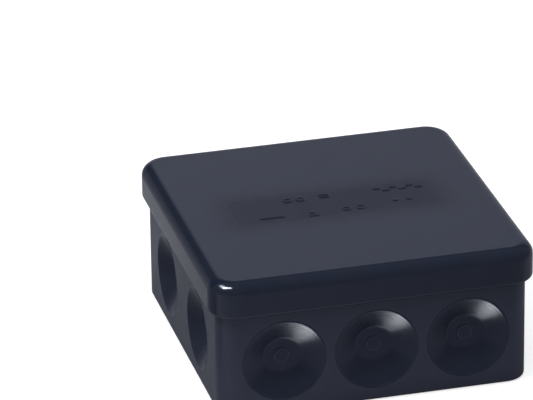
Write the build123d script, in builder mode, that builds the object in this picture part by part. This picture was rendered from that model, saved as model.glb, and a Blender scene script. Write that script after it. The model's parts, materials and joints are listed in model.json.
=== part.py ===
"""Square surface-mounting junction box with funnel-shaped cable entries and a five-pole terminal strip.

The origin is the centre of the underside, +Z is up, and the side with three entries faces -Y.
All sizes are in millimetres.
"""
import os

from build123d import *

os.makedirs("parts", exist_ok=True)

# ---------------------------------------------------------------- base shell
body_length = 82.4
body_width = 82.4
body_corner_r = 6.0
body_edge_r = 0.9
wall = 2.0
floor = 2.0
rim_height = 36.2

# ---------------------------------------------------------------- flat bead round the walls, under the lid
bead_height = 1.2
bead_reach = 0.15
bead_gap = 0.2

# ---------------------------------------------------------------- lid
lid_top = 1.8
lid_skirt = 9.7
lid_overhang = 1.8
lid_corner_r = 7.2
lid_top_r = 3.3
lid_lower_r = 1.1
skirt_gap = 0.35

# ---------------------------------------------------------------- snap line and sealing lip
snap_drop = 4.6
snap_height = 1.6
snap_reach = 0.25
snap_clearance = 0.15
lip_depth = 2.2
lip_thickness = 1.2
lip_gap = 0.3

# ---------------------------------------------------------------- cable entries
entry_r = 10.7
entry_height = 14.6
entry_depth = 3.4
entry_disc_r = 4.6
entry_steps = 2
entry_ledge = 0.25
entry_skin = 1.0
cup_wall = 1.6
nub_r = 2.0
nub_height = 0.3
long_side_entries = 3
long_side_pitch = 24.4
short_side_entries = 2
short_side_pitch = 33.0

# ---------------------------------------------------------------- fixing holes in the floor
fixing_spacing = 56.0
fixing_hole_r = 2.25
fixing_collar_r = 4.6
fixing_collar_height = 0.8

# ---------------------------------------------------------------- terminal strip
pole_count = 5
pole_pitch = 10.0
pole_block_width = 8.0
strip_depth = 15.0
web_depth = 8.0
strip_floor = 1.2
strip_roof = 1.0
chimney_r = 3.1
chimney_height = 5.0
clamp_seat_gap = 0.05

clamp_width = 5.0
clamp_length = 13.0
clamp_height = 5.2
clamp_floor = 0.8
passage_width = 3.0
passage_height = 3.0
clamp_edge = 0.3

# ---------------------------------------------------------------- clamping screws
screw_spacing = 7.2
screw_shank_r = 1.3
screw_thread_gap = 0.05
screw_head_r = 2.0
screw_head_height = 1.6
screw_head_gap = 0.2
screw_neck = 0.8
slot_width = 0.6
slot_depth = 0.8
slot_turn = 37.0

# ---------------------------------------------------------------- posts and strip screws
post_r = 3.2
post_height = 3.0
strip_screw_webs = (1, 4)
strip_screw_r = 1.25
strip_screw_gap = 0.05
strip_screw_bite = 2.6
strip_screw_relief = 0.4
strip_head_r = 2.4
strip_head_height = 1.5
strip_head_edge = 0.4
cross_length = 2.8

# ---------------------------------------------------------------- places worked out from the sizes above
lid_length = body_length + 2 * lid_overhang
lid_width = body_width + 2 * lid_overhang
total_height = rim_height + lid_top
skirt_bottom = total_height - lid_skirt
bead_top = skirt_bottom - bead_gap
snap_top = rim_height - snap_drop
strip_bottom = floor + post_height
clamp_bottom = strip_bottom + strip_floor
clamp_top = clamp_bottom + clamp_height
passage_bottom = clamp_bottom + clamp_floor
strip_top = clamp_top + strip_roof
screw_tip = passage_bottom
screw_head_bottom = clamp_top + screw_neck
pole_x = [(i - (pole_count - 1) / 2) * pole_pitch for i in range(pole_count)]
screw_y = [-screw_spacing / 2, screw_spacing / 2]
web_x = [(i - pole_count / 2) * pole_pitch for i in strip_screw_webs]
screw_places = [(x, y) for x in pole_x for y in screw_y]
web_places = [(x, 0) for x in web_x]


def cup_points():
    """Profile of the cup that backs a funnel, radius against depth, rooted inside the wall."""
    root = wall / 2
    back = entry_depth + entry_skin
    slope = (entry_r - entry_disc_r) / entry_depth
    mouth_r = entry_r - slope * wall + cup_wall
    return [(0, root), (mouth_r, root), (mouth_r, wall), (entry_disc_r + cup_wall, back), (0, back)]


def stepped_points():
    """Profile of the open funnel: a cone broken by fine ledges, down to the flat disc."""
    fall = entry_depth / entry_steps
    run = (entry_r - entry_disc_r) / entry_steps
    points = [(0, -wall), (entry_r, -wall), (entry_r, 0)]
    for step in range(1, entry_steps + 1):
        radius = entry_r - step * run
        depth = step * fall
        points.append((radius + entry_ledge, depth))
        if step < entry_steps:
            points.append((radius, depth))
    points.append((nub_r, entry_depth))
    points.append((nub_r, entry_depth - nub_height))
    points.append((0, entry_depth - nub_height))
    return points


def entry_planes():
    """A plane on the axis of every entry: X along the radius, Z into the box, origin on the wall."""
    planes = []
    for side in (-1, 1):
        for i in range(long_side_entries):
            x = (i - (long_side_entries - 1) / 2) * long_side_pitch
            place = (x, side * body_width / 2, entry_height)
            planes.append(Plane(origin=place, x_dir=(1, 0, 0), z_dir=(0, -side, 0)))
        for i in range(short_side_entries):
            y = (i - (short_side_entries - 1) / 2) * short_side_pitch
            place = (side * body_length / 2, y, entry_height)
            planes.append(Plane(origin=place, x_dir=(0, 1, 0), z_dir=(-side, 0, 0)))
    return planes


def revolve_profile(plane, points, mode):
    """Turn a profile of (radius, depth) points about the axis of a plane."""
    across = Plane(origin=plane.origin, x_dir=plane.x_dir, z_dir=plane.x_dir.cross(plane.z_dir))
    with BuildSketch(across) as profile:
        with BuildLine():
            Polyline(*points, close=True)
        make_face()
    revolve(profile.sketch, axis=Axis(plane.origin, plane.z_dir), mode=mode)


# ---------------------------------------------------------------- base: walls, floor, funnels, posts
with BuildPart() as base:
    with BuildSketch():
        RectangleRounded(body_length, body_width, body_corner_r)
    extrude(amount=rim_height)
    fillet(base.faces().sort_by(Axis.Z)[0].edges(), body_edge_r)

    with BuildSketch(Plane.XY.offset(bead_top - bead_height)):
        RectangleRounded(
            body_length + 2 * bead_reach, body_width + 2 * bead_reach, body_corner_r + bead_reach
        )
    extrude(amount=bead_height)
    with BuildSketch(Plane.XY.offset(snap_top - snap_height)):
        RectangleRounded(
            body_length + 2 * snap_reach, body_width + 2 * snap_reach, body_corner_r + snap_reach
        )
    extrude(amount=snap_height)

    with BuildSketch(Plane.XY.offset(floor)):
        RectangleRounded(body_length - 2 * wall, body_width - 2 * wall, body_corner_r - wall)
    extrude(amount=rim_height, mode=Mode.SUBTRACT)

    for entry in entry_planes():
        revolve_profile(entry, cup_points(), Mode.ADD)
    for entry in entry_planes():
        revolve_profile(entry, stepped_points(), Mode.SUBTRACT)

    with BuildSketch(Plane.XY.offset(floor)):
        with GridLocations(fixing_spacing, fixing_spacing, 2, 2):
            Circle(fixing_collar_r)
    extrude(amount=fixing_collar_height)
    with BuildSketch():
        with GridLocations(fixing_spacing, fixing_spacing, 2, 2):
            Circle(fixing_hole_r)
    extrude(amount=floor + fixing_collar_height, mode=Mode.SUBTRACT)

    with BuildSketch(Plane.XY.offset(floor)):
        with Locations(*web_places):
            Circle(post_r)
    extrude(amount=post_height)
    with BuildSketch(Plane.XY.offset(strip_bottom)):
        with Locations(*web_places):
            Circle(strip_screw_r + strip_screw_gap)
    extrude(amount=-(strip_screw_bite + strip_screw_relief), mode=Mode.SUBTRACT)

base.part.label = "base"
export_step(base.part, "parts/base.step")


# ---------------------------------------------------------------- lid: cap with skirt, snap groove and lip
with BuildPart() as lid:
    with BuildSketch(Plane.XY.offset(skirt_bottom)):
        RectangleRounded(lid_length, lid_width, lid_corner_r)
    extrude(amount=lid_skirt)
    fillet(lid.faces().sort_by(Axis.Z)[-1].edges(), lid_top_r)
    fillet(lid.faces().sort_by(Axis.Z)[0].edges(), lid_lower_r)

    with BuildSketch(Plane.XY.offset(skirt_bottom)):
        RectangleRounded(body_length + 2 * skirt_gap, body_width + 2 * skirt_gap, body_corner_r + skirt_gap)
    extrude(amount=rim_height - skirt_bottom, mode=Mode.SUBTRACT)

    groove_reach = skirt_gap + snap_clearance
    with BuildSketch(Plane.XY.offset(snap_top - snap_height - snap_clearance)):
        RectangleRounded(
            body_length + 2 * groove_reach, body_width + 2 * groove_reach, body_corner_r + groove_reach
        )
    extrude(amount=snap_height + 2 * snap_clearance, mode=Mode.SUBTRACT)

    lip_inset = wall + lip_gap
    with BuildSketch(Plane.XY.offset(rim_height)):
        RectangleRounded(body_length - 2 * lip_inset, body_width - 2 * lip_inset, body_corner_r - lip_inset)
        offset(amount=-lip_thickness, mode=Mode.SUBTRACT)
    extrude(amount=-lip_depth)

lid.part.label = "lid"
export_step(lid.part, "parts/lid.step")


# ---------------------------------------------------------------- terminal strip: pole blocks, webs, chimneys
with BuildPart() as terminal_housing:
    with BuildSketch(Plane.XY.offset(strip_bottom)):
        with Locations(*[(x, 0) for x in pole_x]):
            Rectangle(pole_block_width, strip_depth)
        Rectangle((pole_count - 1) * pole_pitch, web_depth)
    extrude(amount=strip_top - strip_bottom)

    with BuildSketch(Plane.XY.offset(strip_top)):
        with Locations(*screw_places):
            Circle(chimney_r)
    extrude(amount=chimney_height)
    with BuildSketch(Plane.XY.offset(clamp_top)):
        with Locations(*screw_places):
            Circle(screw_head_r + screw_head_gap)
    extrude(amount=strip_roof + chimney_height, mode=Mode.SUBTRACT)

    channel_height = clamp_height + clamp_seat_gap
    with BuildSketch(Plane.XZ.offset(-strip_depth / 2)):
        with Locations(*[(x, clamp_bottom + channel_height / 2) for x in pole_x]):
            Rectangle(clamp_width + 2 * clamp_seat_gap, channel_height)
    extrude(amount=strip_depth, mode=Mode.SUBTRACT)

    with BuildSketch(Plane.XY.offset(strip_bottom)):
        with Locations(*web_places):
            Circle(strip_screw_r + strip_screw_gap)
    extrude(amount=strip_top - strip_bottom, mode=Mode.SUBTRACT)

terminal_housing.part.label = "terminal_housing"
export_step(terminal_housing.part, "parts/terminal_housing.step")


# ---------------------------------------------------------------- clamp bodies: square tube with two threads
for pole, x in enumerate(pole_x, start=1):
    with BuildPart() as clamp_body:
        with BuildSketch(Plane.XZ.offset(-clamp_length / 2)):
            with Locations((x, clamp_bottom + clamp_height / 2)):
                Rectangle(clamp_width, clamp_height)
        extrude(amount=clamp_length)
        chamfer(clamp_body.edges().filter_by(Axis.Y), clamp_edge)
        with BuildSketch(Plane.XZ.offset(-clamp_length / 2)):
            with Locations((x, passage_bottom + passage_height / 2)):
                Rectangle(passage_width, passage_height)
        extrude(amount=clamp_length, mode=Mode.SUBTRACT)
        with BuildSketch(Plane.XY.offset(passage_bottom + passage_height)):
            with Locations(*[(x, y) for y in screw_y]):
                Circle(screw_shank_r + screw_thread_gap)
        extrude(amount=clamp_height, mode=Mode.SUBTRACT)
    clamp_body.part.label = f"clamp_body_{pole}"
    export_step(clamp_body.part, f"parts/clamp_body_{pole}.step")


# ---------------------------------------------------------------- clamping screws, tightened down
for row, y in zip(("front", "back"), screw_y):
    for pole, x in enumerate(pole_x, start=1):
        with BuildPart() as clamp_screw:
            with BuildSketch(Plane.XY.offset(screw_tip)):
                with Locations((x, y)):
                    Circle(screw_shank_r)
            extrude(amount=screw_head_bottom - screw_tip)
            with BuildSketch(Plane.XY.offset(screw_head_bottom)):
                with Locations((x, y)):
                    Circle(screw_head_r)
            extrude(amount=screw_head_height)
            with BuildSketch(Plane.XY.offset(screw_head_bottom + screw_head_height)):
                with Locations(Location((x, y), pole * slot_turn)):
                    Rectangle(2 * screw_head_r, slot_width)
            extrude(amount=-slot_depth, mode=Mode.SUBTRACT)
        clamp_screw.part.label = f"clamp_screw_{row}_{pole}"
        export_step(clamp_screw.part, f"parts/clamp_screw_{row}_{pole}.step")


# ---------------------------------------------------------------- screws that hold the strip on its posts
for side, x in zip(("left", "right"), web_x):
    with BuildPart() as strip_screw:
        with BuildSketch(Plane.XY.offset(strip_bottom - strip_screw_bite)):
            with Locations((x, 0)):
                Circle(strip_screw_r)
        extrude(amount=strip_top - strip_bottom + strip_screw_bite)
        with BuildSketch(Plane.XY.offset(strip_top)):
            with Locations((x, 0)):
                Circle(strip_head_r)
        extrude(amount=strip_head_height)
        chamfer(strip_screw.faces().sort_by(Axis.Z)[-1].edges(), strip_head_edge)
        with BuildSketch(Plane.XY.offset(strip_top + strip_head_height)):
            with Locations((x, 0)):
                Rectangle(cross_length, slot_width)
                Rectangle(slot_width, cross_length)
        extrude(amount=-slot_depth, mode=Mode.SUBTRACT)
    strip_screw.part.label = f"strip_screw_{side}"
    export_step(strip_screw.part, f"parts/strip_screw_{side}.step")
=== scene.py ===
"""Dresses the junction box: black plastic outside, a terminal strip inside, a pale studio floor."""
import json
import math

import bmesh
import bpy
from mathutils import Matrix, Vector


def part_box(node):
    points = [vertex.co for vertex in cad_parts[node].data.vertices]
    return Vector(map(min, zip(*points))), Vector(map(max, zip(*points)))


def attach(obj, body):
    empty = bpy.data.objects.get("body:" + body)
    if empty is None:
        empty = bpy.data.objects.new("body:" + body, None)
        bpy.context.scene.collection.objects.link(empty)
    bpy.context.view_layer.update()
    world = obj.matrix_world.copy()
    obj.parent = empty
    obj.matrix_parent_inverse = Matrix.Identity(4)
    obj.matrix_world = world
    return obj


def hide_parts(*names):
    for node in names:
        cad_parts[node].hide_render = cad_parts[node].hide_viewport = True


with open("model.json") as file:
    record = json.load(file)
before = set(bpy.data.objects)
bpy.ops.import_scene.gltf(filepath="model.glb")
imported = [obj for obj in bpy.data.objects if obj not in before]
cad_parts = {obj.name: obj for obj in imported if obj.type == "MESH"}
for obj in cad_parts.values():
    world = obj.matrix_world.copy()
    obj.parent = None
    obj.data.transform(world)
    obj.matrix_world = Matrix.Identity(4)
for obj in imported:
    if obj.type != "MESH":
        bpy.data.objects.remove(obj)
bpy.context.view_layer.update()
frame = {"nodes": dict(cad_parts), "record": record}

MM = 0.001
FULL_TURN = 2 * math.pi
UP = (0, 0, 1)

base_low = Vector(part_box("base")[0])
lid_low, lid_high = (Vector(corner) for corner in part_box("lid"))
mounts = {mount["name"]: mount for mount in frame["record"]["mounts"]}
entry_mounts = [mount for name, mount in mounts.items() if "_entry_" in name]


# ---------------------------------------- helpers for objects and nodes
# The mix node's inputs for factor, first and second value, and its output, by the kind of value.
MIX_SOCKETS = {"RGBA": ((0, 6, 7), 2), "FLOAT": ((0, 2, 3), 0)}


def add_object(name, data):
    """A new object in the scene."""
    new_object = bpy.data.objects.new(name, data)
    bpy.context.scene.collection.objects.link(new_object)
    return new_object


def smooth_faces(mesh):
    mesh.polygons.foreach_set("use_smooth", [True] * len(mesh.polygons))


def link(tree, out_socket, in_socket):
    tree.links.new(out_socket, in_socket)


def add_node(tree, kind, **settings):
    node = tree.nodes.new(kind)
    for name, value in settings.items():
        setattr(node, name, value)
    return node


def feed(tree, socket, value):
    """Links a socket, or sets its own value when given a plain number or vector."""
    if isinstance(value, bpy.types.NodeSocket):
        tree.links.new(value, socket)
    else:
        socket.default_value = value


def set_inputs(node, values):
    for label, value in values.items():
        node.inputs[label].default_value = value


def maths(tree, operation, first, second=0.0, third=0.0):
    node = add_node(tree, "ShaderNodeMath", operation=operation)
    for socket, value in zip(node.inputs, (first, second, third)):
        feed(tree, socket, value)
    return node.outputs[0]


def plus(tree, first, second):
    return maths(tree, "ADD", first, second)


def minus(tree, first, second):
    return maths(tree, "SUBTRACT", first, second)


def times(tree, first, second):
    return maths(tree, "MULTIPLY", first, second)


def ramp(tree, value, start, end, low=0.0, high=1.0, smooth=False):
    """Value mapped from start..end to low..high, flat outside."""
    node = add_node(tree, "ShaderNodeMapRange", clamp=True)
    if smooth:
        node.interpolation_type = "SMOOTHSTEP"
    labels = ("Value", "From Min", "From Max", "To Min", "To Max")
    for label, setting in zip(labels, (value, start, end, low, high)):
        feed(tree, node.inputs[label], setting)
    return node.outputs["Result"]


def blend(tree, kind, *values):
    """The mix of two values of one kind. The values are the factor, the first and the second."""
    node = add_node(tree, "ShaderNodeMix", data_type=kind)
    inputs, output = MIX_SOCKETS[kind]
    for index, value in zip(inputs, values):
        feed(tree, node.inputs[index], value)
    return node.outputs[output]


def blend_colour(tree, factor, first, second):
    return blend(tree, "RGBA", factor, first, second)


def blend_number(tree, factor, first, second):
    return blend(tree, "FLOAT", factor, first, second)


def noise(tree, place, scale, detail):
    node = add_node(tree, "ShaderNodeTexNoise", noise_dimensions="3D")
    feed(tree, node.inputs["Vector"], place)
    feed(tree, node.inputs["Scale"], scale)
    feed(tree, node.inputs["Detail"], detail)
    return node.outputs["Fac"]


def new_group(name, inputs, outputs, kind="ShaderNodeTree"):
    """A named group with its sockets, and its input and output nodes."""
    group = bpy.data.node_groups.new(name, kind)
    for label, socket_type, default in inputs:
        socket = group.interface.new_socket(label, in_out="INPUT", socket_type=socket_type)
        if default is not None:
            socket.default_value = default
    for label, socket_type in outputs:
        group.interface.new_socket(label, in_out="OUTPUT", socket_type=socket_type)
    return group, group.nodes.new("NodeGroupInput"), group.nodes.new("NodeGroupOutput")


FLOAT = "NodeSocketFloat"
COLOUR = "NodeSocketColor"
GEOMETRY = "NodeSocketGeometry"
MATERIAL = "NodeSocketMaterial"
SURFACE_OUTPUTS = [("Color", COLOUR), ("Roughness", FLOAT), ("Height", FLOAT)]


# ---------------------------------------- shared surface effects
LINE_STRETCH = (1.0, 0.06, 1.0)
PATCH_RANGE = (0.35, 0.75)
SPOT_RANGE = (0.4, 0.7)


def give_surface(group, given, out, patches, labels):
    """Sends out a colour and a roughness, each blended by the patches between two inputs."""
    first_tone, second_tone = (given.outputs[label] for label in labels)
    low, high = given.outputs["Roughness Low"], given.outputs["Roughness High"]
    link(group, blend_colour(group, patches, first_tone, second_tone), out.inputs["Color"])
    link(group, blend_number(group, patches, low, high), out.inputs["Roughness"])


def moulded_skin_group():
    """Spark-eroded grain over slow waves in the wall, with a little drift in tone and gloss."""
    group, given, out = new_group(
        "moulded_skin",
        [
            ("Grain Scale", FLOAT, 2600.0),
            ("Grain Depth", FLOAT, 0.5),
            ("Wave Scale", FLOAT, 45.0),
            ("Wave Depth", FLOAT, 0.5),
            ("Patch Scale", FLOAT, 160.0),
            ("Base Tone", COLOUR, (0.012, 0.014, 0.024, 1)),
            ("Dusty Tone", COLOUR, (0.020, 0.022, 0.032, 1)),
            ("Roughness Low", FLOAT, 0.3),
            ("Roughness High", FLOAT, 0.4),
        ],
        SURFACE_OUTPUTS,
    )
    place = add_node(group, "ShaderNodeTexCoord").outputs["Object"]
    grain = noise(group, place, given.outputs["Grain Scale"], detail=3.0)
    waves = noise(group, place, given.outputs["Wave Scale"], detail=1.0)
    grain_height = times(group, grain, given.outputs["Grain Depth"])
    wave_height = times(group, waves, given.outputs["Wave Depth"])
    link(group, plus(group, grain_height, wave_height), out.inputs["Height"])
    drift = noise(group, place, given.outputs["Patch Scale"], detail=5.0)
    patches = ramp(group, drift, *PATCH_RANGE)
    give_surface(group, given, out, patches, ("Base Tone", "Dusty Tone"))
    return group


def drawn_metal_group():
    """Fine lines left by drawing or turning, with small dull spots."""
    group, given, out = new_group(
        "drawn_metal",
        [
            ("Bright Tone", COLOUR, (0.8, 0.8, 0.8, 1)),
            ("Dull Tone", COLOUR, (0.5, 0.5, 0.5, 1)),
            ("Line Scale", FLOAT, 3000.0),
            ("Spot Scale", FLOAT, 420.0),
            ("Roughness Low", FLOAT, 0.2),
            ("Roughness High", FLOAT, 0.45),
        ],
        SURFACE_OUTPUTS,
    )
    place = add_node(group, "ShaderNodeTexCoord").outputs["Object"]
    stretch = add_node(group, "ShaderNodeMapping")
    stretch.inputs["Scale"].default_value = LINE_STRETCH
    link(group, place, stretch.inputs["Vector"])
    lines = noise(group, stretch.outputs["Vector"], given.outputs["Line Scale"], detail=2.0)
    link(group, lines, out.inputs["Height"])
    dullness = noise(group, place, given.outputs["Spot Scale"], detail=6.0)
    spots = ramp(group, dullness, *SPOT_RANGE)
    give_surface(group, given, out, spots, ("Bright Tone", "Dull Tone"))
    return group


def soft_field_group():
    """Mask of a rectangle in the XY plane, 1 inside and 0 outside, soft along its edge."""
    group, given, out = new_group(
        "soft_field",
        [
            ("Centre Y", FLOAT, 0.0),
            ("Half Length", FLOAT, 0.03),
            ("Half Width", FLOAT, 0.01),
            ("Edge", FLOAT, 0.002),
        ],
        [("Mask", FLOAT)],
    )
    place = add_node(group, "ShaderNodeTexCoord").outputs["Object"]
    split = add_node(group, "ShaderNodeSeparateXYZ")
    link(group, place, split.inputs[0])
    from_middle_x = maths(group, "ABSOLUTE", split.outputs["X"])
    offset_y = minus(group, split.outputs["Y"], given.outputs["Centre Y"])
    from_middle_y = maths(group, "ABSOLUTE", offset_y)
    along = minus(group, given.outputs["Half Length"], from_middle_x)
    across = minus(group, given.outputs["Half Width"], from_middle_y)
    edge = given.outputs["Edge"]
    inside = [ramp(group, distance, 0.0, edge, smooth=True) for distance in (along, across)]
    link(group, times(group, *inside), out.inputs["Mask"])
    return group


def spaced(values):
    """Keyword names as socket labels: Bar_Turn becomes Bar Turn."""
    return {label.replace("_", " "): value for label, value in values.items()}


def surface_material(name, group, values, bump_distance, bump_strength, **shader_values):
    """A Principled material fed by one surface group, with fixed values on the shader itself."""
    material = bpy.data.materials.new(name)
    material.use_nodes = True
    tree = material.node_tree
    shader = tree.nodes["Principled BSDF"]
    skin = add_node(tree, "ShaderNodeGroup", name="skin", node_tree=group)
    set_inputs(skin, values)
    link(tree, skin.outputs["Color"], shader.inputs["Base Color"])
    link(tree, skin.outputs["Roughness"], shader.inputs["Roughness"])
    bump = add_node(tree, "ShaderNodeBump")
    set_inputs(bump, {"Distance": bump_distance, "Strength": bump_strength})
    link(tree, skin.outputs["Height"], bump.inputs["Height"])
    link(tree, bump.outputs["Normal"], shader.inputs["Normal"])
    set_inputs(shader, spaced(shader_values))
    return material


def add_marking_field(material, field_group, field_sizes, field_tone, field_roughness):
    """Lays a darker, duller marking field into a moulded material."""
    tree = material.node_tree
    shader = tree.nodes["Principled BSDF"]
    skin = tree.nodes["skin"]
    field = add_node(tree, "ShaderNodeGroup", node_tree=field_group)
    set_inputs(field, field_sizes)
    mask = field.outputs["Mask"]
    tone = blend_colour(tree, mask, skin.outputs["Color"], field_tone)
    roughness = blend_number(tree, mask, skin.outputs["Roughness"], field_roughness)
    link(tree, tone, shader.inputs["Base Color"])
    link(tree, roughness, shader.inputs["Roughness"])


skin_group = moulded_skin_group()
metal_group = drawn_metal_group()

PLASTIC_RELIEF = 0.00002
METAL_RELIEF = 0.00001
PLASTIC_SPECULAR = 0.42
ENTRY_SPECULAR = 0.27
BLUE_TINT = (0.84, 0.90, 1.0, 1)
FIELD_TONE = (0.0060, 0.0080, 0.0180, 1)
FIELD_ROUGHNESS = 0.31
FIELD_SIZES = {
    "Centre Y": -0.75 * MM,
    "Half Length": 36 * MM,
    "Half Width": 16 * MM,
    "Edge": 12 * MM,
}

lid_plastic = surface_material(
    "lid_plastic",
    skin_group,
    {
        "Base Tone": (0.0100, 0.0135, 0.0262, 1),
        "Dusty Tone": (0.0115, 0.0150, 0.0280, 1),
        "Roughness Low": 0.13,
        "Roughness High": 0.16,
        "Wave Depth": 2.0,
        "Grain Depth": 0.1,
    },
    bump_distance=PLASTIC_RELIEF,
    bump_strength=0.25,
    Specular_IOR_Level=PLASTIC_SPECULAR,
    Specular_Tint=BLUE_TINT,
)
add_marking_field(lid_plastic, soft_field_group(), FIELD_SIZES, FIELD_TONE, FIELD_ROUGHNESS)
base_plastic = surface_material(
    "base_plastic",
    skin_group,
    {
        "Base Tone": (0.0222, 0.0258, 0.0435, 1),
        "Dusty Tone": (0.0252, 0.0290, 0.0470, 1),
        "Roughness Low": 0.33,
        "Roughness High": 0.38,
        "Wave Depth": 2.0,
    },
    bump_distance=PLASTIC_RELIEF,
    bump_strength=0.35,
    Specular_IOR_Level=PLASTIC_SPECULAR,
    Specular_Tint=BLUE_TINT,
)
# Painted shade: a tone darker than the wall plastic's, which darkens the recessed entries. Their
# smoother, less shiny finish is their own.
entry_plastic = surface_material(
    "entry_plastic",
    skin_group,
    {
        "Base Tone": (0.0150, 0.0190, 0.0345, 1),
        "Dusty Tone": (0.0168, 0.0210, 0.0365, 1),
        "Roughness Low": 0.20,
        "Roughness High": 0.25,
        "Wave Depth": 1.0,
        "Grain Depth": 0.1,
    },
    bump_distance=PLASTIC_RELIEF,
    bump_strength=0.2,
    Specular_IOR_Level=ENTRY_SPECULAR,
    Specular_Tint=BLUE_TINT,
)
terminal_plastic = surface_material(
    "terminal_plastic",
    skin_group,
    {
        "Base Tone": (0.70, 0.68, 0.61, 1),
        "Dusty Tone": (0.62, 0.60, 0.53, 1),
        "Roughness Low": 0.38,
        "Roughness High": 0.5,
    },
    bump_distance=PLASTIC_RELIEF,
    bump_strength=0.3,
)
brass = surface_material(
    "brass",
    metal_group,
    {
        "Bright Tone": (0.72, 0.50, 0.20, 1),
        "Dull Tone": (0.50, 0.34, 0.15, 1),
    },
    bump_distance=METAL_RELIEF,
    bump_strength=0.4,
    Metallic=1.0,
)
plated_steel = surface_material(
    "plated_steel",
    metal_group,
    {
        "Bright Tone": (0.62, 0.62, 0.60, 1),
        "Dull Tone": (0.44, 0.44, 0.43, 1),
    },
    bump_distance=METAL_RELIEF,
    bump_strength=0.3,
    Metallic=1.0,
)


# ---------------------------------------- finishes of the carried-over pieces
def finish_of(node):
    if node == "lid":
        return lid_plastic
    if node == "base":
        return base_plastic
    if node == "terminal_housing":
        return terminal_plastic
    if node.startswith("clamp_body"):
        return brass
    return plated_steel


for node_name, piece in frame["nodes"].items():
    piece.data.materials.clear()
    piece.data.materials.append(finish_of(node_name))


# ---------------------------------------- Geometry Nodes helpers
WELD_DISTANCE = 1e-7
SHARP_ANGLE = math.radians(32)


def field_parts(tree, vertices_along, vertices_around):
    """A unit grid, with its two parameters as fields running from 0 to 1."""
    grid = add_node(tree, "GeometryNodeMeshGrid")
    feed(tree, grid.inputs["Size X"], 1.0)
    feed(tree, grid.inputs["Size Y"], 1.0)
    feed(tree, grid.inputs["Vertices X"], vertices_along)
    feed(tree, grid.inputs["Vertices Y"], vertices_around)
    split = add_node(tree, "ShaderNodeSeparateXYZ")
    link(tree, add_node(tree, "GeometryNodeInputPosition").outputs[0], split.inputs[0])
    along = plus(tree, split.outputs["X"], 0.5)
    around = plus(tree, split.outputs["Y"], 0.5)
    return grid.outputs["Mesh"], along, around


def along_profile(tree, along, stations):
    """A size that runs through the given (place, size) stations, straight between them."""
    place, size = stations[0]
    total = size
    for next_place, next_size in stations[1:]:
        change = minus(tree, next_size, size)
        share = ramp(tree, along, place, next_place)
        total = plus(tree, total, times(tree, change, share))
        place, size = next_place, next_size
    return total


def follow_section(tree, along, section):
    """Radius and height along a section, given as rows of place, radius and height."""
    places, radii, heights = zip(*section)
    radius = along_profile(tree, along, list(zip(places, radii)))
    height = along_profile(tree, along, list(zip(places, heights)))
    return radius, height


def turn_about_z(tree, mesh, radius, height, around, shift_x=0.0):
    """Moves a grid onto a surface of revolution about Z, and closes its seam and poles."""
    angle = times(tree, around, FULL_TURN)
    place = add_node(tree, "ShaderNodeCombineXYZ")
    across = times(tree, radius, maths(tree, "COSINE", angle))
    feed(tree, place.inputs["X"], plus(tree, across, shift_x))
    feed(tree, place.inputs["Y"], times(tree, radius, maths(tree, "SINE", angle)))
    feed(tree, place.inputs["Z"], height)
    move = add_node(tree, "GeometryNodeSetPosition")
    link(tree, mesh, move.inputs["Geometry"])
    link(tree, place.outputs[0], move.inputs["Position"])
    weld = add_node(tree, "GeometryNodeMergeByDistance")
    link(tree, move.outputs[0], weld.inputs["Geometry"])
    feed(tree, weld.inputs["Distance"], WELD_DISTANCE)
    return weld.outputs[0]


def place_on_points(tree, points, shape, material):
    """Copies a shape to every point, its Z along the point's facing, as real mesh in one finish."""
    facing = add_node(tree, "GeometryNodeInputNamedAttribute", data_type="FLOAT_VECTOR")
    facing.inputs["Name"].default_value = "facing"
    turn = add_node(tree, "FunctionNodeAlignRotationToVector", axis="Z")
    link(tree, facing.outputs["Attribute"], turn.inputs["Vector"])
    copies = add_node(tree, "GeometryNodeInstanceOnPoints")
    link(tree, points, copies.inputs["Points"])
    link(tree, shape, copies.inputs["Instance"])
    link(tree, turn.outputs[0], copies.inputs["Rotation"])
    real = add_node(tree, "GeometryNodeRealizeInstances")
    link(tree, copies.outputs[0], real.inputs[0])
    coat = add_node(tree, "GeometryNodeSetMaterial")
    link(tree, real.outputs[0], coat.inputs["Geometry"])
    feed(tree, coat.inputs["Material"], material)
    return coat.outputs[0]


def grow(name, places, facings, tree, sizes):
    """Runs a tree on a set of points and returns one plain mesh object, its faces outwards."""
    seed = bpy.data.meshes.new(name + "_points")
    seed.from_pydata([tuple(place) for place in places], [], [])
    facing = seed.attributes.new("facing", "FLOAT_VECTOR", "POINT")
    for item, direction in zip(facing.data, facings):
        item.vector = direction
    grower = add_object(name + "_grower", seed)
    modifier = grower.modifiers.new(name, "NODES")
    modifier.node_group = tree
    for item in tree.interface.items_tree:
        if item.item_type == "SOCKET" and item.in_out == "INPUT" and item.name in sizes:
            modifier[item.identifier] = sizes[item.name]
    depsgraph = bpy.context.evaluated_depsgraph_get()
    mesh = bpy.data.meshes.new_from_object(grower.evaluated_get(depsgraph), depsgraph=depsgraph)
    grower.modifiers.clear()
    bpy.data.objects.remove(grower)
    mesh.name = name
    shell = bmesh.new()
    shell.from_mesh(mesh)
    bmesh.ops.recalc_face_normals(shell, faces=shell.faces)
    shell.to_mesh(mesh)
    shell.free()
    if "facing" in mesh.attributes:
        mesh.attributes.remove(mesh.attributes["facing"])
    smooth_faces(mesh)
    mesh.set_sharp_from_angle(angle=SHARP_ANGLE)
    return add_object(name, mesh)


# ---------------------------------------- ringed funnels in the walls
FUNNEL_GRID = (109, 73)
# Places along the funnel's section, which runs from the lip inwards and back behind the skin.
LIP_AT, MOUTH_AT, FULL_SKIN_AT, FOOT_AT, HEEL_AT, TOE_AT = 0.02, 0.08, 0.18, 0.62, 0.66, 0.70
NUB_AT, NUB_TOP_AT, NUB_MIDDLE_AT, BACK_MIDDLE_AT, BACK_EDGE_AT, BACK_LIP_AT = (
    0.74, 0.79, 0.84, 0.88, 0.93, 0.98
)
FOOT_RISE_SHARE = 0.42
HEEL_RISE_SHARE = 0.3
NUB_TOP_SHARE = 0.80


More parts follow.
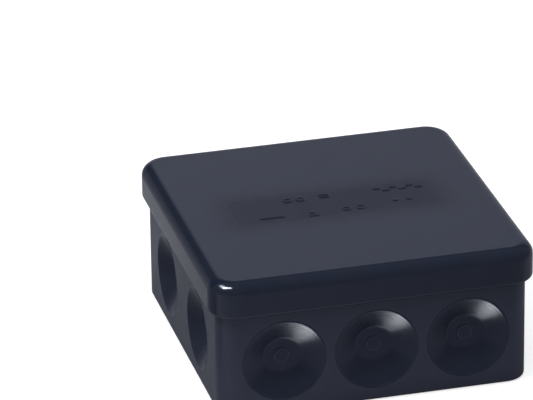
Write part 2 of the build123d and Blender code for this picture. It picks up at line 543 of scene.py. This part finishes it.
def ringed_funnel_tree():
    """A thin closed skin over a funnel: lip, ringed flank, rounded foot, flat disc and nub."""
    tree, given, out = new_group(
        "ringed_funnel",
        [
            ("Points", GEOMETRY, None),
            ("Lip Radius", FLOAT, 11.15 * MM),
            ("Lip Rise", FLOAT, 0.045 * MM),
            ("Mouth Radius", FLOAT, 10.7 * MM),
            ("Disc Radius", FLOAT, 4.6 * MM),
            ("Nub Radius", FLOAT, 2.0 * MM),
            ("Funnel Depth", FLOAT, 3.4 * MM),
            ("Nub Height", FLOAT, 0.3 * MM),
            ("Foot Round", FLOAT, 0.55 * MM),
            ("Skin", FLOAT, 0.05 * MM),
            ("Root", FLOAT, 0.45 * MM),
            ("Ring Count", FLOAT, 9.0),
            ("Ring Relief", FLOAT, 0.024 * MM),
            ("Finish", MATERIAL, None),
        ],
        [("Funnels", GEOMETRY)],
        "GeometryNodeTree",
    )
    sizes = given.outputs
    grid, along, around = field_parts(tree, *FUNNEL_GRID)
    lip, mouth = sizes["Lip Radius"], sizes["Mouth Radius"]
    disc, nub = sizes["Disc Radius"], sizes["Nub Radius"]
    deep, root = sizes["Funnel Depth"], sizes["Root"]
    foot_r = plus(tree, disc, sizes["Foot Round"])
    foot_rise = times(tree, sizes["Foot Round"], FOOT_RISE_SHARE)
    foot_depth = minus(tree, deep, foot_rise)
    heel_depth = maths(tree, "MULTIPLY_ADD", foot_rise, -HEEL_RISE_SHARE, deep)
    toe_r = minus(tree, disc, sizes["Foot Round"])
    nub_top_r = times(tree, nub, NUB_TOP_SHARE)
    nub_depth = minus(tree, deep, sizes["Nub Height"])
    buried = plus(tree, deep, root)
    section = (
        (0.0, lip, root),
        (LIP_AT, lip, 0.0),
        (MOUTH_AT, mouth, 0.0),
        (FOOT_AT, foot_r, foot_depth),
        (HEEL_AT, disc, heel_depth),
        (TOE_AT, toe_r, deep),
        (NUB_AT, nub, deep),
        (NUB_TOP_AT, nub_top_r, nub_depth),
        (NUB_MIDDLE_AT, 0.0, nub_depth),
        (BACK_MIDDLE_AT, 0.0, buried),
        (BACK_EDGE_AT, disc, buried),
        (BACK_LIP_AT, lip, root),
    )
    radius, depth = follow_section(tree, along, section)

    lip_wave = maths(tree, "SINE", times(tree, ramp(tree, along, LIP_AT, MOUTH_AT), math.pi))
    skin_starts = ramp(tree, along, MOUTH_AT, FULL_SKIN_AT)
    skin_ends = ramp(tree, along, BACK_EDGE_AT, BACK_LIP_AT, 1.0, 0.0)
    turns = times(tree, ramp(tree, along, MOUTH_AT, FOOT_AT), sizes["Ring Count"])
    ring_wave = minus(tree, 1.0, maths(tree, "COSINE", times(tree, turns, FULL_TURN)))
    for relief, wave in (
        (sizes["Lip Rise"], lip_wave),
        (sizes["Skin"], times(tree, skin_starts, skin_ends)),
        (sizes["Ring Relief"], times(tree, ring_wave, 0.5)),
    ):
        depth = minus(tree, depth, times(tree, relief, wave))
    shell = turn_about_z(tree, grid, radius, times(tree, depth, -1.0), around)
    funnels = place_on_points(tree, sizes["Points"], shell, sizes["Finish"])
    link(tree, funnels, out.inputs["Funnels"])
    return tree


entry_funnels = grow(
    "entry_funnels",
    [mount["pos_m"] for mount in entry_mounts],
    [mount["axis"] for mount in entry_mounts],
    ringed_funnel_tree(),
    {"Finish": entry_plastic},
)
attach(entry_funnels, "box")


# ---------------------------------------- raised marks on the lid
MARK_GRID = (21, 33)
# Stretches of a mark's section, from the foot of its outer wall over the crown and back underneath.
OUTER_WALL, OUTER_SHOULDER, CROWN = (0.0, 0.2), (0.2, 0.3), (0.3, 0.5)
INNER_SHOULDER, INNER_WALL, UNDERSIDE = (0.5, 0.6), (0.6, 0.8), (0.8, 1.0)
INNER_WALL_MIDDLE, INNER_WALL_HALF = 0.7, 0.1
SHOULDER_BREADTH_SHARE = 0.25
CROWN_BREADTH_SHARE = 0.5
WALL_RISE_SHARE = 0.55
SWELL_RISE_SHARE = 0.45
NO_HOLE_RADIUS = 1e-6


def raised_mark_tree():
    """A low ring, dot or bar with soft shoulders, standing on every point and rooted below it."""
    tree, given, out = new_group(
        "raised_mark",
        [
            ("Points", GEOMETRY, None),
            ("Outer Radius", FLOAT, 1.0 * MM),
            ("Inner Radius", FLOAT, 0.0),
            ("Length", FLOAT, 0.0),
            ("Rise", FLOAT, 0.14 * MM),
            ("Root", FLOAT, 0.2 * MM),
            ("Finish", MATERIAL, None),
        ],
        [("Marks", GEOMETRY)],
        "GeometryNodeTree",
    )
    sizes = given.outputs
    outer, inner = sizes["Outer Radius"], sizes["Inner Radius"]
    grid, along, around = field_parts(tree, *MARK_GRID)
    inner_wall = maths(tree, "COMPARE", along, INNER_WALL_MIDDLE, INNER_WALL_HALF)
    solid = maths(tree, "LESS_THAN", inner, NO_HOLE_RADIUS)
    drop = add_node(tree, "GeometryNodeDeleteGeometry", domain="FACE")
    link(tree, grid, drop.inputs["Geometry"])
    link(tree, times(tree, inner_wall, solid), drop.inputs["Selection"])

    breadth = minus(tree, outer, inner)
    outer_shoulder = ramp(tree, along, *OUTER_SHOULDER)
    inner_shoulder = ramp(tree, along, *INNER_SHOULDER)
    shoulders = times(tree, plus(tree, outer_shoulder, inner_shoulder), SHOULDER_BREADTH_SHARE)
    crown = times(tree, ramp(tree, along, *CROWN), CROWN_BREADTH_SHARE)
    inward = minus(tree, plus(tree, shoulders, crown), ramp(tree, along, *UNDERSIDE))
    radius = minus(tree, outer, times(tree, breadth, inward))
    climb = minus(tree, ramp(tree, along, *OUTER_WALL), ramp(tree, along, *INNER_WALL))
    swell = minus(tree, outer_shoulder, inner_shoulder)
    wall_height = maths(tree, "MULTIPLY_ADD", sizes["Rise"], WALL_RISE_SHARE, sizes["Root"])
    height = minus(tree, times(tree, climb, wall_height), sizes["Root"])
    swell_height = times(tree, times(tree, swell, sizes["Rise"]), SWELL_RISE_SHARE)
    height = plus(tree, height, swell_height)

    angle = times(tree, around, FULL_TURN)
    end = times(tree, maths(tree, "SIGN", maths(tree, "COSINE", angle)), 0.5)
    shift = times(tree, end, sizes["Length"])
    shell = turn_about_z(tree, drop.outputs[0], radius, height, around, shift)
    marks = place_on_points(tree, sizes["Points"], shell, sizes["Finish"])
    link(tree, marks, out.inputs["Marks"])
    return tree


def lid_places(spots):
    """Points on the lid's top from pairs of millimetres across and along."""
    return [(x * MM, y * MM, lid_high.z) for x, y in spots]


# Millimetres: where the marks of one kind stand, and their sizes.
MARKS = {
    "mark_rings": (
        ((-11.5, 3.6), (-8.0, 3.6), (2.0, -5.4), (6.0, -5.4)),
        {"Outer Radius": 1.3, "Inner Radius": 0.8},
    ),
    "mark_dots": (((16.0, -3.6), (19.6, -3.6), (-7.0, -5.2)), {"Outer Radius": 0.85}),
    "mark_long_bars": (((-18.0, -5.6),), {"Outer Radius": 0.45, "Length": 6.0}),
    "mark_short_bars": (
        ((-1.6, 4.6), (-1.6, 3.2), (-7.0, -7.2)),
        {"Outer Radius": 0.4, "Length": 2.2},
    ),
    "mark_scale": (
        tuple((13.0 + 2.2 * i, 4.4 - 1.5 * (i % 2)) for i in range(6)),
        {"Outer Radius": 0.4, "Length": 1.4},
    ),
}
mark_tree = raised_mark_tree()
for mark_name, (spots, mark_sizes) in MARKS.items():
    values = {label: size * MM for label, size in mark_sizes.items()}
    values["Finish"] = lid_plastic
    marks = grow(mark_name, lid_places(spots), [UP] * len(spots), mark_tree, values)
    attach(marks, "lid")


# ---------------------------------------- screws with thread, head and recess
HEAD_GRID = (21, 49)
SHANK_GRID = (73, 25)
# Places along the head's section, from the middle of its top round to the middle of its seat.
CROWN_AT, ROUND_AT, SIDE_AT, SEAT_AT = 0.3, 0.4, 0.5, 0.75
# Places along the shank's section, from the middle of its neck to the middle of its tip.
NECK_AT, TAPER_AT, TIP_AT = 0.04, 0.92, 0.96
THREAD_STARTS = (0.06, 0.10)
THREAD_FADES = (TAPER_AT, 0.88)
ROUND_SHARE = 0.3
NECK_SHARE = 0.3
TIP_RADIUS_SHARE = 0.75
TAPER_SHARE = 0.3


def screw_tree():
    """A threaded shank under a round-edged head with two bars cut across it."""
    tree, given, out = new_group(
        "threaded_screw",
        [
            ("Points", GEOMETRY, None),
            ("Head Radius", FLOAT, 2.0 * MM),
            ("Head Height", FLOAT, 1.6 * MM),
            ("Head Edge", FLOAT, 0.3 * MM),
            ("Shank Radius", FLOAT, 1.3 * MM),
            ("Shank Length", FLOAT, 5.2 * MM),
            ("Thread Pitch", FLOAT, 0.45 * MM),
            ("Thread Depth", FLOAT, 0.16 * MM),
            ("Bar Width", FLOAT, 0.6 * MM),
            ("Bar Length", FLOAT, 4.4 * MM),
            ("Cross Length", FLOAT, 0.6 * MM),
            ("Bar Depth", FLOAT, 0.8 * MM),
            ("Bar Turn", FLOAT, 0.0),
            ("Finish", MATERIAL, None),
        ],
        [("Screws", GEOMETRY)],
        "GeometryNodeTree",
    )
    sizes = given.outputs
    head_r, head_top, edge = sizes["Head Radius"], sizes["Head Height"], sizes["Head Edge"]
    rounded = times(tree, edge, ROUND_SHARE)
    crown_r = minus(tree, head_r, edge)
    round_r = minus(tree, head_r, rounded)
    side_top = minus(tree, head_top, edge)
    round_top = minus(tree, head_top, rounded)
    grid, along, around = field_parts(tree, *HEAD_GRID)
    head_section = (
        (0.0, 0.0, head_top),
        (CROWN_AT, crown_r, head_top),
        (ROUND_AT, round_r, round_top),
        (SIDE_AT, head_r, side_top),
        (SEAT_AT, head_r, 0.0),
        (1.0, 0.0, 0.0),
    )
    radius, height = follow_section(tree, along, head_section)
    head = turn_about_z(tree, grid, radius, height, around)

    cut = add_node(tree, "GeometryNodeMeshBoolean", operation="DIFFERENCE", solver="EXACT")
    link(tree, head, cut.inputs["Mesh 1"])
    bar_turn = add_node(tree, "FunctionNodeAxisAngleToRotation")
    bar_turn.inputs["Axis"].default_value = UP
    link(tree, sizes["Bar Turn"], bar_turn.inputs["Angle"])
    bar_place = add_node(tree, "ShaderNodeCombineXYZ")
    feed(tree, bar_place.inputs["Z"], head_top)
    bar_height = times(tree, sizes["Bar Depth"], 2.0)
    bars = (
        (sizes["Bar Length"], sizes["Bar Width"], bar_height),
        (sizes["Bar Width"], sizes["Cross Length"], bar_height),
    )
    for lengths in bars:
        bar = add_node(tree, "GeometryNodeMeshCube")
        bar_size = add_node(tree, "ShaderNodeCombineXYZ")
        for axis, length in zip("XYZ", lengths):
            feed(tree, bar_size.inputs[axis], length)
        link(tree, bar_size.outputs[0], bar.inputs["Size"])
        lift = add_node(tree, "GeometryNodeTransform")
        link(tree, bar.outputs["Mesh"], lift.inputs["Geometry"])
        link(tree, bar_place.outputs[0], lift.inputs["Translation"])
        link(tree, bar_turn.outputs[0], lift.inputs["Rotation"])
        link(tree, lift.outputs[0], cut.inputs["Mesh 2"])

    grid, along, around = field_parts(tree, *SHANK_GRID)
    shank_r, tip = sizes["Shank Radius"], times(tree, sizes["Shank Length"], -1.0)
    neck = times(tree, head_top, NECK_SHARE)
    core_r = minus(tree, shank_r, sizes["Thread Depth"])
    tip_r = times(tree, core_r, TIP_RADIUS_SHARE)
    tip_top = plus(tree, tip, times(tree, shank_r, TAPER_SHARE))
    shank_section = (
        (0.0, 0.0, neck),
        (NECK_AT, core_r, neck),
        (TAPER_AT, core_r, tip_top),
        (TIP_AT, tip_r, tip),
        (1.0, 0.0, tip),
    )
    core, height = follow_section(tree, along, shank_section)
    turns = maths(tree, "DIVIDE", height, sizes["Thread Pitch"])
    winding = maths(tree, "FRACT", minus(tree, turns, around))
    to_and_fro = maths(tree, "MULTIPLY_ADD", winding, 2.0, -1.0)
    crest = minus(tree, 1.0, maths(tree, "ABSOLUTE", to_and_fro))
    threaded = times(tree, ramp(tree, along, *THREAD_STARTS), ramp(tree, along, *THREAD_FADES))
    thread = times(tree, times(tree, crest, threaded), sizes["Thread Depth"])
    shank = turn_about_z(tree, grid, plus(tree, core, thread), height, around)

    both = add_node(tree, "GeometryNodeJoinGeometry")
    link(tree, cut.outputs["Mesh"], both.inputs[0])
    link(tree, shank, both.inputs[0])
    screws = place_on_points(tree, sizes["Points"], both.outputs[0], sizes["Finish"])
    link(tree, screws, out.inputs["Screws"])
    return tree


CLAMP_HEAD_HEIGHT = 1.6 * MM
STRIP_HEAD_HEIGHT = 1.5 * MM
SLOT_TURN = math.radians(37)
SLOT_OVERRUN = 2.2
POLES = range(1, 6)
CROSS_RECESS = {
    "Head_Edge": 0.5 * MM,
    "Bar_Length": 2.8 * MM,
    "Cross_Length": 2.8 * MM,
    "Thread_Pitch": 0.8 * MM,
    "Thread_Depth": 0.25 * MM,
}


def grow_screw(name, node, body, head_height, **sizes):
    """A detailed screw in place of a node, its head and reach taken from the node's own box."""
    low, high = (Vector(corner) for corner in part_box(node))
    head_r = (high.x - low.x) / 2
    seat = Vector(((low.x + high.x) / 2, (low.y + high.y) / 2, high.z - head_height))
    values = {
        "Head Radius": head_r,
        "Head Height": head_height,
        "Shank Length": seat.z - low.z,
        "Bar Length": SLOT_OVERRUN * head_r,
        "Finish": plated_steel,
    }
    values.update(spaced(sizes))
    screw = grow(name, [seat], [UP], screw_shape, values)
    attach(screw, body)
    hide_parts(node)


screw_shape = screw_tree()
for row in ("front", "back"):
    for pole in POLES:
        clamp = f"clamp_screw_{row}_{pole}"
        slotted = f"slotted_{row}_{pole}"
        grow_screw(slotted, clamp, clamp, CLAMP_HEAD_HEIGHT, Bar_Turn=pole * SLOT_TURN)
for side in ("left", "right"):
    grow_screw(f"crossed_{side}", f"strip_screw_{side}", "box", STRIP_HEAD_HEIGHT, **CROSS_RECESS)


# ---------------------------------------- floor, backdrop, light and camera
SEEN_GLOW = 0.62
SEEN_TONE = (0.55, 0.55, 0.55, 1)
WHITE = (1, 1, 1, 1)
AIR_TINT = (0.94, 0.96, 1.06)
# Painted reflections: lighter and darker bands painted on the floor and backdrop, seen only in what
# the box reflects. From and to, in metres along one axis, then the tones or factors there.
BACKDROP_RIGHTWARD = (-0.14, 0.10, 0.05, 0.56)
BACKDROP_UPWARD = (0.42, 0.70, 1.0, 0.2)
BACKDROP_BEGINS = (0.16, 0.28)
FLOOR_BEHIND = (0.01, 0.11, 0.16, 0.23)
FLOOR_BESIDE = (-0.074, -0.046, 1.0, 1.9)
FLOOR_IN_FRONT = (-0.10, -0.048, 0.38, 0.48)
FRONT_RIGHTWARD = (-0.03, 0.05, 1.1, 0.8)
FRONT_TO_BEHIND = (-0.045, -0.03)


def stage_material():
    """Pale floor: near white where the camera sees it, a mid grey with painted lighter and darker
    bands in what the box reflects, which give painted reflections.
    """
    material = bpy.data.materials.new("pale_floor")
    material.use_nodes = True
    tree = material.node_tree
    shader = tree.nodes["Principled BSDF"]
    set_inputs(shader, {"Roughness": 0.9, "Specular IOR Level": 0.05, "Emission Color": WHITE})
    seen = add_node(tree, "ShaderNodeLightPath").outputs["Is Camera Ray"]
    place = add_node(tree, "ShaderNodeSeparateXYZ")
    link(tree, add_node(tree, "ShaderNodeTexCoord").outputs["Object"], place.inputs[0])
    rightward, forward, upward = (place.outputs[axis] for axis in "XYZ")

    # Painted reflection: floor tones that change with place, which the walls mirror as lighter and
    # darker patches.
    behind = ramp(tree, forward, *FLOOR_BEHIND, smooth=True)
    behind = times(tree, behind, ramp(tree, rightward, *FLOOR_BESIDE, smooth=True))
    in_front = ramp(tree, forward, *FLOOR_IN_FRONT, smooth=True)
    in_front = times(tree, in_front, ramp(tree, rightward, *FRONT_RIGHTWARD))
    floor_tone = blend_number(tree, ramp(tree, forward, *FRONT_TO_BEHIND), in_front, behind)
    # Painted reflection: the backdrop is darker to the left and higher up, which the lid mirrors.
    backdrop_tone = times(
        tree,
        ramp(tree, rightward, *BACKDROP_RIGHTWARD, smooth=True),
        ramp(tree, upward, *BACKDROP_UPWARD, smooth=True),
    )
    upright = ramp(tree, upward, *BACKDROP_BEGINS)
    unseen_tone = blend_number(tree, upright, floor_tone, backdrop_tone)
    unseen_colour = add_node(tree, "ShaderNodeVectorMath", operation="SCALE")
    unseen_colour.inputs[0].default_value = AIR_TINT
    link(tree, unseen_tone, unseen_colour.inputs["Scale"])
    colour = blend_colour(tree, seen, unseen_colour.outputs[0], SEEN_TONE)
    link(tree, colour, shader.inputs["Base Color"])
    link(tree, times(tree, seen, SEEN_GLOW), shader.inputs["Emission Strength"])
    return material


def stage_sheet(name, profile, half_width, finish):
    """A sheet swept along X from a profile of (y, z) points."""
    mesh = bpy.data.meshes.new(name)
    points = [(x, y, z) for y, z in profile for x in (-half_width, half_width)]
    faces = [(2 * i, 2 * i + 1, 2 * i + 3, 2 * i + 2) for i in range(len(profile) - 1)]
    mesh.from_pydata(points, [], faces)
    smooth_faces(mesh)
    mesh.materials.append(finish)
    sheet = add_object(name, mesh)
    return sheet


STAGE_HALF = 1.6
BACKDROP_AT = 0.75
BACKDROP_HEIGHT = 1.2
BEND_RADIUS = 0.25
BEND_STEPS = 16


def make_stage():
    """A floor all round, and a curved backdrop that only the box sees, so that it hides nothing."""
    finish = stage_material()
    stage_sheet("studio_floor", [(-STAGE_HALF, 0.0), (STAGE_HALF, 0.0)], STAGE_HALF, finish)
    sweep = []
    for i in range(BEND_STEPS + 1):
        angle = math.pi / 2 * i / BEND_STEPS
        back = BACKDROP_AT - BEND_RADIUS + BEND_RADIUS * math.sin(angle)
        sweep.append((back, BEND_RADIUS * (1 - math.cos(angle))))
    sweep.append((BACKDROP_AT, BACKDROP_HEIGHT))
    backdrop = stage_sheet("studio_backdrop", sweep, STAGE_HALF, finish)
    backdrop.visible_camera = False


def area_light(name, place, aim, size, watts, shape="DISK", first_side=(1, 0, 0)):
    """A lamp that shines from place to aim, with its first side turned towards first_side."""
    light = bpy.data.lights.new(name, "AREA")
    light.shape = shape
    light.size = size[0]
    if shape == "RECTANGLE":
        light.size_y = size[1]
    light.energy = watts
    lamp = add_object(name, light)
    back = (Vector(place) - Vector(aim)).normalized()
    side = Vector(first_side)
    across = (side - back * back.dot(side)).normalized()
    turn = Matrix((across, back.cross(across), back)).transposed().to_4x4()
    lamp.matrix_world = Matrix.Translation(place) @ turn
    lamp.visible_camera = False
    return lamp


KEY_LAMP = {
    "place": (-0.61, -0.03, 0.82),
    "aim": (0, 0, 0.02),
    "size": (0.30, 0.46),
    "watts": 6.2,
    "shape": "RECTANGLE",
}
SOFTBOX = {"place": (0.1, -0.3, 1.3), "aim": (0, 0, 0), "size": (1.4,), "watts": 12.5}

GLINT_INSET = 3 * MM
GLINT_DROP = 1.5 * MM
GLINT_OFFSET = 30 * MM * Vector((-0.46, -0.24, 0.85))
GLINT_LAMP = {
    "size": (17 * MM, 6.6 * MM),
    "watts": 0.0127,
    "shape": "RECTANGLE",
    "first_side": (0.51, -0.27, 0.25),
}

GLOW_LEFTWARD = 5 * MM
GLOW_AHEAD = 8 * MM
GLOW_HEIGHT = 2.4 * MM
GLOW_DIRECTION = Vector((0.13, 0.28, 0.95))
GLOW_SPREAD = math.radians(42)
GLOW_LAMP = {"size": (0.020, 0.008), "watts": 0.00055, "shape": "RECTANGLE"}


def receivers(name, piece):
    """A collection that holds the one piece a lamp may light."""
    collection = bpy.data.collections.new(name)
    collection.objects.link(piece)
    return collection


def glint_on(lamp, collection):
    """Limits a lamp to the glint that it gives on the piece in a collection."""
    lamp.visible_diffuse = False
    lamp.light_linking.receiver_collection = collection


def make_lights():
    area_light("key_lamp", **KEY_LAMP)
    lid_corner = Vector((lid_low.x + GLINT_INSET, lid_low.y + GLINT_INSET, lid_high.z - GLINT_DROP))
    glint = area_light("corner_glint", lid_corner + GLINT_OFFSET, lid_corner, **GLINT_LAMP)
    glint_on(glint, receivers("lid_only", frame["nodes"]["lid"]))
    fill = area_light("overhead_softbox", **SOFTBOX)
    fill.visible_glossy = False

    funnels_only = receivers("funnels_only", entry_funnels)
    for name, mount in mounts.items():
        if not name.startswith("front_entry"):
            continue
        left = mount["pos_m"][0] - GLOW_LEFTWARD
        place = Vector((left, base_low.y - GLOW_AHEAD, GLOW_HEIGHT))
        glow = area_light("glow_" + name, place, place + GLOW_DIRECTION, **GLOW_LAMP)
        glow.data.spread = GLOW_SPREAD
        glint_on(glow, funnels_only)


# The upward part of the direction, from and to, then the strengths there.
AIR_UPWARD = (0.3, 0.95, 0.24, 0.18)


def make_air():
    """White air for the camera, and dimmer, bluer air that lights the box."""
    world = bpy.data.worlds.new("studio_air")
    world.use_nodes = True
    bpy.context.scene.world = world
    tree = world.node_tree
    background = tree.nodes["Background"]
    seen = add_node(tree, "ShaderNodeLightPath").outputs["Is Camera Ray"]
    direction = add_node(tree, "ShaderNodeSeparateXYZ")
    link(tree, add_node(tree, "ShaderNodeTexCoord").outputs["Generated"], direction.inputs[0])
    air = ramp(tree, direction.outputs["Z"], *AIR_UPWARD, smooth=True)
    link(tree, blend_number(tree, seen, air, 1.0), background.inputs["Strength"])
    link(tree, blend_colour(tree, seen, (*AIR_TINT, 1), WHITE), background.inputs["Color"])


def make_camera():
    """Looks down on the front left corner from about a metre away through a long lens."""
    azimuth = math.radians(14.30)
    elevation = math.radians(24.53)
    roll = math.radians(-0.836)
    distance = 1.1832
    shift_right = 0.01772
    shift_up = -0.01763
    view = Vector((
        math.sin(azimuth) * math.cos(elevation),
        math.cos(azimuth) * math.cos(elevation),
        -math.sin(elevation),
    ))
    level = view.cross(Vector(UP)).normalized()
    upright = level.cross(view)
    right = level * math.cos(roll) + upright * math.sin(roll)
    up = upright * math.cos(roll) - level * math.sin(roll)
    place = Vector((0, 0, lid_high.z / 2)) - view * distance - right * shift_right - up * shift_up
    data = bpy.data.cameras.new("camera")
    data.sensor_width = 36.0
    data.lens = 303.4
    data.clip_start = 0.01
    camera = add_object("camera", data)
    turn = Matrix((right, up, -view)).transposed().to_4x4()
    camera.matrix_world = Matrix.Translation(place) @ turn
    bpy.context.scene.camera = camera


make_stage()
make_lights()
make_air()
make_camera()
bpy.context.scene.view_settings.view_transform = "Standard"
